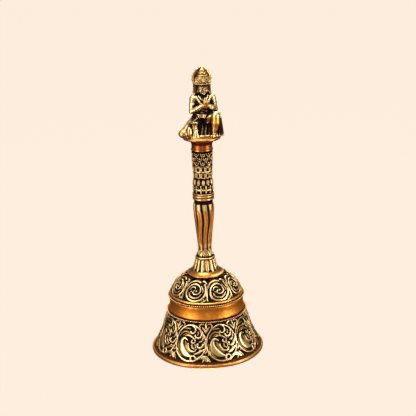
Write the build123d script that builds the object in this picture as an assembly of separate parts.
from build123d import *
import math
import os

# Altar hand bell: a cast bell, a handle of hollow castings clamped by one tie rod,
# a kneeling figure on top, and a clapper that hangs from a swivel shackle.
# Millimetres. The origin is the centre of the mouth, in the plane the bell stands on; +Z is up.
# The figure's front faces -Y.

os.makedirs("parts", exist_ok=True)

# ---------------------------------------------------------------- driving dimensions
TOTAL_HEIGHT = 165.0
RIM_R = 32.3            # outside of the mouth
FLUTES = 9              # round the stem
PETALS = 14             # round the lotus foot
GRIP_REPEATS = 12       # slots and pits round the grip
ROD_R = 2.0             # tie rod, M4
ROD_CLEARANCE = 0.15    # between the rod and the castings it passes through
RUNNING = 0.05          # radial clearance of a pin or shank that turns in its hole

# heights of the stacked castings
CROWN_SEAT_Z = 45.2
FOOT_PLATE_H = 3.2
LOTUS_H = 8.2
STEM_H = 33.0
COLLAR_H = 4.8
LOWER_SLEEVE_H = 8.6
UPPER_SLEEVE_H = 15.0
NECK_RING_H = 1.6
PLINTH_H = 7.0

# the bell's bands
LIP_H = 2.4
LOWER_BEADS_Z = 24.3
UPPER_BEADS_Z = 33.2
BEAD_R = 0.6
CROWN_T = 2.6           # thickness of the crown
LIP_T = 3.2             # thickness of the wall at the mouth

# the grip
GRIP_WAIST_R = 5.35     # where its two sleeves meet

# the clapper
BALL_R = 6.5
BALL_Z = 8.8
PIVOT_Z = 30.9
PIN_R = 1.2
SHANK_R = 1.5

# the figure
FIGURE_TURN = 13.0      # degrees, turned to its own right-hand side seen from the front
FIGURE_X = 1.2
SHOULDER_HALF_WIDTH = 6.0

# ---------------------------------------------------------------- worked out
FOOT_PLATE_TOP = CROWN_SEAT_Z + FOOT_PLATE_H
LOTUS_TOP = FOOT_PLATE_TOP + LOTUS_H
STEM_TOP = LOTUS_TOP + STEM_H
COLLAR_TOP = STEM_TOP + COLLAR_H
LOWER_SLEEVE_TOP = COLLAR_TOP + LOWER_SLEEVE_H
UPPER_SLEEVE_TOP = LOWER_SLEEVE_TOP + UPPER_SLEEVE_H
NECK_RING_TOP = UPPER_SLEEVE_TOP + NECK_RING_H
DISC_TOP = NECK_RING_TOP + PLINTH_H
CROWN_UNDER_Z = CROWN_SEAT_Z - CROWN_T
BORE_R = ROD_R + ROD_CLEARANCE
STANDING = (Align.CENTER, Align.CENTER, Align.MIN)      # a solid that stands on its origin


def turned(outline):
    """Revolve a closed outline of edges, drawn as (radius, height), about the bell's axis."""
    face = make_face(Plane.XZ * outline)
    return revolve(face, Axis.Z)


def drilled(solid, radius, bottom, top):
    """Bore a hole of this radius along the axis, from bottom to top."""
    hole = Pos(0, 0, bottom) * Cylinder(radius, top - bottom, align=STANDING)
    return solid - hole


def ring_of(shape, count):
    """Copies of a shape, evenly spaced about the axis."""
    return [Rot(0, 0, 360.0 * index / count) * shape for index in range(count)]


def lobed(radius, depth, z, lobes=FLUTES):
    """A closed outline of round lobes, its grooves this deep."""
    edges = []
    groove_r = radius - depth
    lobe_angle = 360.0 / lobes
    for index in range(lobes):
        start = math.radians(lobe_angle * (index - 0.5))
        middle = math.radians(lobe_angle * index)
        end = math.radians(lobe_angle * (index + 0.5))
        first = (groove_r * math.cos(start), groove_r * math.sin(start), z)
        crest = (radius * math.cos(middle), radius * math.sin(middle), z)
        last = (groove_r * math.cos(end), groove_r * math.sin(end), z)
        edges.append(ThreePointArc(first, crest, last))
    return make_face(Wire(edges))


# ---------------------------------------------------------------- the bell
def bell_cup():
    """Lip, flared skirt, bead ring, hollow waist, bead ring, dome and a flat seat; evenly thick inside."""
    rim_in = RIM_R - LIP_T
    lip_face = RIM_R - 0.6
    skirt_foot = (RIM_R - 1.3, LIP_H + 0.2)
    skirt_curve = [(29.4, 5.9), (26.6, 11.9), (24.2, 19.5)]
    skirt_top = (22.5, LOWER_BEADS_Z - BEAD_R)
    lower_bead = (23.2, LOWER_BEADS_Z)
    waist_foot = (22.0, LOWER_BEADS_Z + BEAD_R)
    waist_hollow = (21.1, 28.8)
    waist_top = (21.4, UPPER_BEADS_Z - BEAD_R)
    upper_bead = (22.0, UPPER_BEADS_Z)
    dome_foot = (21.4, UPPER_BEADS_Z + BEAD_R)
    dome_curve = [(19.5, 38.0), (16.4, 42.4)]
    crown_edge = (12.0, CROWN_SEAT_Z + 0.4)
    seat_edge = (9.6, CROWN_SEAT_Z)
    crown_under_edge = (8.5, CROWN_UNDER_Z)
    inside_curve = [(14.6, 40.2), (17.8, 35.6), (18.6, 29.0), (22.3, 15.9)]
    outline = Curve() + [
        Line((rim_in, 0), (lip_face, 0)),
        ThreePointArc((lip_face, 0), (RIM_R, LIP_H / 2), (lip_face, LIP_H)),
        Line((lip_face, LIP_H), skirt_foot),
        Spline(skirt_foot, *skirt_curve, skirt_top),
        ThreePointArc(skirt_top, lower_bead, waist_foot),
        ThreePointArc(waist_foot, waist_hollow, waist_top),
        ThreePointArc(waist_top, upper_bead, dome_foot),
        Spline(dome_foot, *dome_curve, crown_edge),
        Line(crown_edge, seat_edge),
        Line(seat_edge, (BORE_R, CROWN_SEAT_Z)),
        Line((BORE_R, CROWN_SEAT_Z), (BORE_R, CROWN_UNDER_Z)),
        Line((BORE_R, CROWN_UNDER_Z), crown_under_edge),
        Spline(crown_under_edge, *inside_curve, (rim_in, 0)),
    ]
    return turned(outline)


# ---------------------------------------------------------------- the handle's castings
def foot_plate():
    """A flared plate with a round edge that stands clear of the dome."""
    seat_r = 9.4
    edge_r = 10.7
    edge_under = (edge_r - 0.5, CROWN_SEAT_Z + 0.7)
    edge_middle = (edge_r, CROWN_SEAT_Z + 1.2)
    edge_over = (edge_r - 0.4, CROWN_SEAT_Z + 1.6)
    flare_middle = (8.9, CROWN_SEAT_Z + 2.1)
    neck_r = 7.6
    outline = Curve() + [
        Line((BORE_R, CROWN_SEAT_Z), (seat_r, CROWN_SEAT_Z)),
        Line((seat_r, CROWN_SEAT_Z), edge_under),
        ThreePointArc(edge_under, edge_middle, edge_over),
        ThreePointArc(edge_over, flare_middle, (neck_r, FOOT_PLATE_TOP)),
        Line((neck_r, FOOT_PLATE_TOP), (BORE_R, FOOT_PLATE_TOP)),
        Line((BORE_R, FOOT_PLATE_TOP), (BORE_R, CROWN_SEAT_Z)),
    ]
    return turned(outline)


def lotus_foot():
    """Petals that hang from a plain ring and flare to their tips."""
    petal_depth = 0.8
    ring_h = 1.8
    ring_z = LOTUS_TOP - ring_h
    tips = lobed(7.5, petal_depth, FOOT_PLATE_TOP, PETALS)
    backs = lobed(6.6, petal_depth, FOOT_PLATE_TOP + 2.6, PETALS)
    roots = lobed(5.6, petal_depth, ring_z, PETALS)
    ring = Pos(0, 0, ring_z) * Cylinder(5.0, ring_h, align=STANDING)
    return drilled(loft([tips, backs, roots]) + ring, BORE_R, FOOT_PLATE_TOP, LOTUS_TOP)


def fluted_stem():
    """A leaf flare at the foot, a slim waist, and flutes that swell to lobed heads under the collar."""
    waist_r = 3.9
    head_r = 5.95
    flare_top = LOTUS_TOP + 3.4
    waist_z = LOTUS_TOP + 6.4
    swell_z = waist_z + 12.5
    head_z = STEM_TOP - 5.2
    neck_h = 1.5
    neck_z = STEM_TOP - neck_h
    flare_end = lobed(waist_r + 0.1, 0.4, flare_top)
    waist = lobed(waist_r, 0.4, waist_z)
    widest = lobed(head_r, 0.7, head_z)
    flare = loft([lobed(4.7, 0.5, LOTUS_TOP), flare_end])
    lower = loft([flare_end, waist])
    flutes = loft([waist, lobed(5.2, 0.6, swell_z), widest])
    head = loft([widest, lobed(5.4, 0.7, neck_z)])
    neck = Pos(0, 0, neck_z) * Cylinder(5.3, neck_h, align=STANDING)
    return drilled(flare + lower + flutes + head + neck, BORE_R, LOTUS_TOP, STEM_TOP)


def rounded_ring(bottom, top, root_r, crest_r):
    """A turned ring with a round outer edge and the rod's bore."""
    middle = (bottom + top) / 2
    outline = Curve() + [
        Line((BORE_R, bottom), (root_r, bottom)),
        ThreePointArc((root_r, bottom), (crest_r, middle), (root_r, top)),
        Line((root_r, top), (BORE_R, top)),
        Line((BORE_R, top), (BORE_R, bottom)),
    ]
    return turned(outline)


def stem_collar():
    root_r = 5.5
    crest_r = 6.1
    groove_z = STEM_TOP + COLLAR_H / 2
    lower_ring = rounded_ring(STEM_TOP, groove_z, root_r, crest_r)
    upper_ring = rounded_ring(groove_z, COLLAR_TOP, root_r, crest_r)
    return lower_ring + upper_ring


def sleeve(bottom, top, foot_r, belly, top_r):
    """A hollow sleeve whose outside is one arc through its belly, a (radius, height) point."""
    outline = Curve() + [
        Line((BORE_R, bottom), (foot_r, bottom)),
        ThreePointArc((foot_r, bottom), belly, (top_r, top)),
        Line((top_r, top), (BORE_R, top)),
        Line((BORE_R, top), (BORE_R, bottom)),
    ]
    return turned(outline)


def lower_grip_sleeve():
    """Barrel-shaped, with a row of round pits, and a row of notches round its foot."""
    belly_r = 5.9
    pit_r = 0.8
    notch_w = 1.5
    notch_h = 0.8
    notch_d = 0.5
    body = sleeve(COLLAR_TOP, LOWER_SLEEVE_TOP, 5.8, (belly_r, COLLAR_TOP + 4.0), GRIP_WAIST_R)
    pit = Pos(belly_r + 0.2, 0, COLLAR_TOP + 3.0) * Sphere(pit_r)
    notch = Pos(belly_r, 0, COLLAR_TOP + notch_h / 2) * Box(2 * notch_d, notch_w, notch_h)
    return body - (ring_of(pit, GRIP_REPEATS) + ring_of(notch, GRIP_REPEATS))


def upper_grip_sleeve():
    """Widens upwards from the grip's waist, with two rows of upright slots round its foot."""
    top_r = 6.0
    slot_h = 2.0
    slot_w = 1.2
    slot_d = 1.0
    body = sleeve(LOWER_SLEEVE_TOP, UPPER_SLEEVE_TOP, GRIP_WAIST_R, (5.8, LOWER_SLEEVE_TOP + 7.0), top_r)
    slot = Pos(top_r, 0, 0) * Box(2 * slot_d, slot_w, slot_h)
    low_row = ring_of(Pos(0, 0, LOWER_SLEEVE_TOP + 1.4) * slot, GRIP_REPEATS)
    high_row = ring_of(Pos(0, 0, LOWER_SLEEVE_TOP + 5.0) * slot, GRIP_REPEATS)
    return body - (low_row + high_row)


def neck_ring():
    return rounded_ring(UPPER_SLEEVE_TOP, NECK_RING_TOP, 5.6, 6.15)


def plinth_disc():
    """A plain neck that opens through a cove into the disc under the figure."""
    neck_r = 5.8
    disc_r = 10.6
    disc_t = 1.9
    edge_round = 0.9
    flat_r = disc_r - edge_round
    under_z = DISC_TOP - disc_t
    cove_foot = (neck_r, NECK_RING_TOP + 2.2)
    cove_middle = (6.8, NECK_RING_TOP + 3.9)
    outline = Curve() + [
        Line((BORE_R, NECK_RING_TOP), (neck_r, NECK_RING_TOP)),
        Line((neck_r, NECK_RING_TOP), cove_foot),
        ThreePointArc(cove_foot, cove_middle, (flat_r, under_z)),
        ThreePointArc((flat_r, under_z), (disc_r, under_z + disc_t / 2), (flat_r, DISC_TOP)),
        Line((flat_r, DISC_TOP), (BORE_R, DISC_TOP)),
        Line((BORE_R, DISC_TOP), (BORE_R, NECK_RING_TOP)),
    ]
    return turned(outline)


# ---------------------------------------------------------------- the figure
def limb(start, end, start_r, end_r):
    """A tapered limb with round ends, between two points."""
    start, end = Vector(*start), Vector(*end)
    along = end - start
    shaft = Cone(start_r, end_r, along.length, align=STANDING)
    placed = Plane(start, z_dir=along) * shaft
    return placed + Pos(*start) * Sphere(start_r) + Pos(*end) * Sphere(end_r)


def torso():
    """Robed body, from the seat on the disc up to the shoulders, as one loft of ellipses."""
    levels = [
        (DISC_TOP, 8.3, 6.6),
        (DISC_TOP + 6.5, 7.6, 5.8),
        (DISC_TOP + 13.5, SHOULDER_HALF_WIDTH - 1.0, 4.0),
        (DISC_TOP + 20.5, SHOULDER_HALF_WIDTH, 3.4),
        (DISC_TOP + 23.6, 2.2, 2.0),
    ]
    return loft([Pos(0, 0, z) * Ellipse(wide, deep) for z, wide, deep in levels])


def head_and_crown():
    """An egg-shaped head under a crown of three shrinking tiers with a pointed tip."""
    head_z = DISC_TOP + 26.6
    band_z = DISC_TOP + 28.6
    band_h = 4.0
    neck = limb((0, 0, DISC_TOP + 21.0), (0, -0.4, head_z - 1.0), 2.0, 1.8)
    head = Pos(0, -0.9, head_z) * scale(Sphere(1.0), by=(2.8, 3.1, 3.5))
    outline = Curve() + [
        Line((0, band_z), (3.4, band_z)),
        ThreePointArc((3.4, band_z), (3.9, band_z + band_h / 2), (3.4, band_z + band_h)),
        Line((3.4, band_z + band_h), (2.6, band_z + band_h)),
        ThreePointArc((2.6, band_z + band_h), (2.7, band_z + 5.2), (1.9, band_z + 6.4)),
        ThreePointArc((1.9, band_z + 6.4), (1.5, band_z + 8.2), (0, TOTAL_HEIGHT)),
        Line((0, TOTAL_HEIGHT), (0, band_z)),
    ]
    return neck + head + Pos(0, -0.4, 0) * turned(outline)


def nimbus():
    """The leaf-shaped plate behind the crown: two curves that meet in a point."""
    half_width = 5.7
    plate_t = 1.6
    foot_z = DISC_TOP + 26.4
    belly_z = DISC_TOP + 31.4
    tip_z = TOTAL_HEIGHT - 0.6
    left = Spline((-2.6, foot_z), (-half_width, belly_z), (-3.9, belly_z + 3.8), (0, tip_z))
    right = Spline((0, tip_z), (3.9, belly_z + 3.8), (half_width, belly_z), (2.6, foot_z))
    base = Line((2.6, foot_z), (-2.6, foot_z))
    face = make_face(Plane.XZ * (Curve() + [left, right, base]))
    return Pos(0, 1.9, 0) * extrude(face, amount=plate_t / 2, both=True)


def arm(side):
    """Upper arm down to the elbow, forearm up to the joined hands. side is -1 or 1."""
    shoulder = (side * 5.6, 0.3, DISC_TOP + 20.4)
    elbow = (side * 6.3, -1.2, DISC_TOP + 15.2)
    wrist = (side * 1.3, -6.0, DISC_TOP + 18.3)
    return limb(shoulder, elbow, 2.0, 1.7) + limb(elbow, wrist, 1.7, 1.2)


def joined_hands():
    """Two hands pressed together, fingertips up."""
    return limb((0, -6.2, DISC_TOP + 18.0), (0, -7.0, DISC_TOP + 21.2), 1.7, 0.7)


def raised_leg():
    """The leg with its foot on the disc: thigh forward, shin down, foot."""
    hip = (3.0, -0.5, DISC_TOP + 8.0)
    knee = (6.4, -5.5, DISC_TOP + 11.6)
    ankle = (5.0, -6.0, DISC_TOP + 2.6)
    toe = (4.8, -8.2, DISC_TOP + 1.4)
    return limb(hip, knee, 3.6, 2.3) + limb(knee, ankle, 2.3, 1.4) + limb(ankle, toe, 1.4, 1.2)


def kneeling_leg():
    """The leg that kneels: thigh sloping out to a knee that overhangs the disc's edge."""
    hip = (-3.2, 0.5, DISC_TOP + 6.5)
    knee = (-11.3, -2.8, DISC_TOP + 2.6)
    return limb(hip, knee, 4.0, 3.2)


def devotee_figure():
    """The whole casting, cut flat underneath so that the overhanging knee is level with the disc's top."""
    whole = torso() + head_and_crown() + nimbus() + joined_hands()
    for limbs in (arm(-1), arm(1), raised_leg(), kneeling_leg()):
        whole = whole + limbs
    below = Box(60, 60, 20, align=(Align.CENTER, Align.CENTER, Align.MAX))
    whole = whole - Pos(0, 0, DISC_TOP) * below
    placed = Pos(FIGURE_X, 0, 0) * Rot(0, 0, FIGURE_TURN) * whole
    return drilled(placed, ROD_R, DISC_TOP, ROD_TOP + ROD_TIP_SPACE)


# ---------------------------------------------------------------- the hidden hardware
ROD_TOP = DISC_TOP + 8.0                    # the rod is screwed 8 mm up into the figure
ROD_TIP_SPACE = 0.5
WASHER_R = 4.6
WASHER_T = 1.0
NUT_H = 3.2
NUT_FLATS = 7.0
NUT_BOTTOM_Z = CROWN_UNDER_Z - WASHER_T - NUT_H
END_GAP = 0.3                               # between faces of parts that turn on each other
SWIVEL_GAP = 0.15                           # between the shackle's web and the washer it turns on
WEB_T = 2.0
WEB_TOP_Z = NUT_BOTTOM_Z - END_GAP
WEB_BOTTOM_Z = WEB_TOP_Z - WEB_T
RIVET_WASHER_R = 2.8
RIVET_WASHER_T = 0.7
RIVET_WASHER_TOP_Z = WEB_BOTTOM_Z - SWIVEL_GAP
RIVET_HEAD_TOP_Z = RIVET_WASHER_TOP_Z - RIVET_WASHER_T
RIVET_HEAD_H = 1.2
RIVET_HEAD_R = 2.3
CHEEK_T = 1.5
CHEEK_INSIDE = 3.2                          # half the gap between the shackle's cheeks
CHEEK_OUTSIDE = CHEEK_INSIDE + CHEEK_T
EYE_R = 2.6


def handle_tie_rod():
    """Threaded above the shoulder; below it a plain shank with a riveted head."""
    head_bottom = RIVET_HEAD_TOP_Z - RIVET_HEAD_H
    head_flat_r = 0.9
    head_side = (1.9, RIVET_HEAD_TOP_Z - 0.8)
    outline = Curve() + [
        Line((0, ROD_TOP), (ROD_R, ROD_TOP)),
        Line((ROD_R, ROD_TOP), (ROD_R, NUT_BOTTOM_Z)),
        Line((ROD_R, NUT_BOTTOM_Z), (SHANK_R, NUT_BOTTOM_Z)),
        Line((SHANK_R, NUT_BOTTOM_Z), (SHANK_R, RIVET_HEAD_TOP_Z)),
        Line((SHANK_R, RIVET_HEAD_TOP_Z), (RIVET_HEAD_R, RIVET_HEAD_TOP_Z)),
        ThreePointArc((RIVET_HEAD_R, RIVET_HEAD_TOP_Z), head_side, (head_flat_r, head_bottom)),
        Line((head_flat_r, head_bottom), (0, head_bottom)),
        Line((0, head_bottom), (0, ROD_TOP)),
    ]
    return turned(outline)


def washer(radius, hole_r, bottom, thickness):
    disc = Pos(0, 0, bottom) * Cylinder(radius, thickness, align=STANDING)
    return drilled(disc, hole_r, bottom, bottom + thickness)


def crown_nut():
    hexagon = Pos(0, 0, NUT_BOTTOM_Z) * RegularPolygon(NUT_FLATS / 2, 6, major_radius=False)
    return drilled(extrude(hexagon, NUT_H), ROD_R, NUT_BOTTOM_Z, NUT_BOTTOM_Z + NUT_H)


def across(radius, length):
    """A round bar through the clapper's pivot, along Y."""
    return Pos(0, 0, PIVOT_Z) * Rot(90, 0, 0) * Cylinder(radius, length)


def swivel_shackle():
    """A fork: a round web that turns on the rod's shank, and two cheeks that hold the pin."""
    web_r = 5.0
    cheek_r = 2.4
    web = Pos(0, 0, WEB_BOTTOM_Z) * Cylinder(web_r, WEB_T, align=STANDING)
    web = drilled(web, SHANK_R + RUNNING, WEB_BOTTOM_Z, WEB_TOP_Z)
    plate = Pos(0, 0, PIVOT_Z) * Box(2 * cheek_r, CHEEK_T, WEB_BOTTOM_Z - PIVOT_Z, align=STANDING)
    cheek = plate + across(cheek_r, CHEEK_T) - across(PIN_R, 2 * CHEEK_T)
    cheek_y = CHEEK_INSIDE + CHEEK_T / 2
    return web + Pos(0, cheek_y, 0) * cheek + Pos(0, -cheek_y, 0) * cheek


def clapper_pin():
    """A pin with a flat riveted head outside each cheek."""
    head_t = 0.9
    head_r = PIN_R + 0.8
    head_y = CHEEK_OUTSIDE + head_t / 2
    heads = Pos(0, head_y, 0) * across(head_r, head_t) + Pos(0, -head_y, 0) * across(head_r, head_t)
    return across(PIN_R, 2 * CHEEK_OUTSIDE) + heads


def clapper_taper():
    """The arm's tapering rod, from the middle of the ball up into the eye."""
    foot_r = 1.2
    top_r = 1.7
    top_z = PIVOT_Z - 1.5
    return Pos(0, 0, BALL_Z) * Cone(foot_r, top_r, top_z - BALL_Z, align=STANDING)


def clapper_arm():
    eye_half = CHEEK_INSIDE - END_GAP
    return across(EYE_R, 2 * eye_half) + clapper_taper() - across(PIN_R + RUNNING, 3 * eye_half)


def clapper_ball():
    return Pos(0, 0, BALL_Z) * Sphere(BALL_R) - clapper_taper()


# ---------------------------------------------------------------- one file per piece
def main():
    nodes = {
        "bell_cup": bell_cup(),
        "foot_plate": foot_plate(),
        "lotus_foot": lotus_foot(),
        "fluted_stem": fluted_stem(),
        "stem_collar": stem_collar(),
        "lower_grip_sleeve": lower_grip_sleeve(),
        "upper_grip_sleeve": upper_grip_sleeve(),
        "neck_ring": neck_ring(),
        "plinth_disc": plinth_disc(),
        "devotee_figure": devotee_figure(),
        "handle_tie_rod": handle_tie_rod(),
        "crown_washer": washer(WASHER_R, BORE_R, CROWN_UNDER_Z - WASHER_T, WASHER_T),
        "crown_nut": crown_nut(),
        "rivet_washer": washer(RIVET_WASHER_R, SHANK_R, RIVET_HEAD_TOP_Z, RIVET_WASHER_T),
        "swivel_shackle": swivel_shackle(),
        "clapper_pin": clapper_pin(),
        "clapper_arm": clapper_arm(),
        "clapper_ball": clapper_ball(),
    }
    for name, solid in nodes.items():
        solid.label = name
        export_step(solid, f"parts/{name}.step")
        box = solid.bounding_box()
        print(f"{name:20s} {len(solid.solids())} solid(s)  z {box.min.Z:.2f} to {box.max.Z:.2f}")


main()
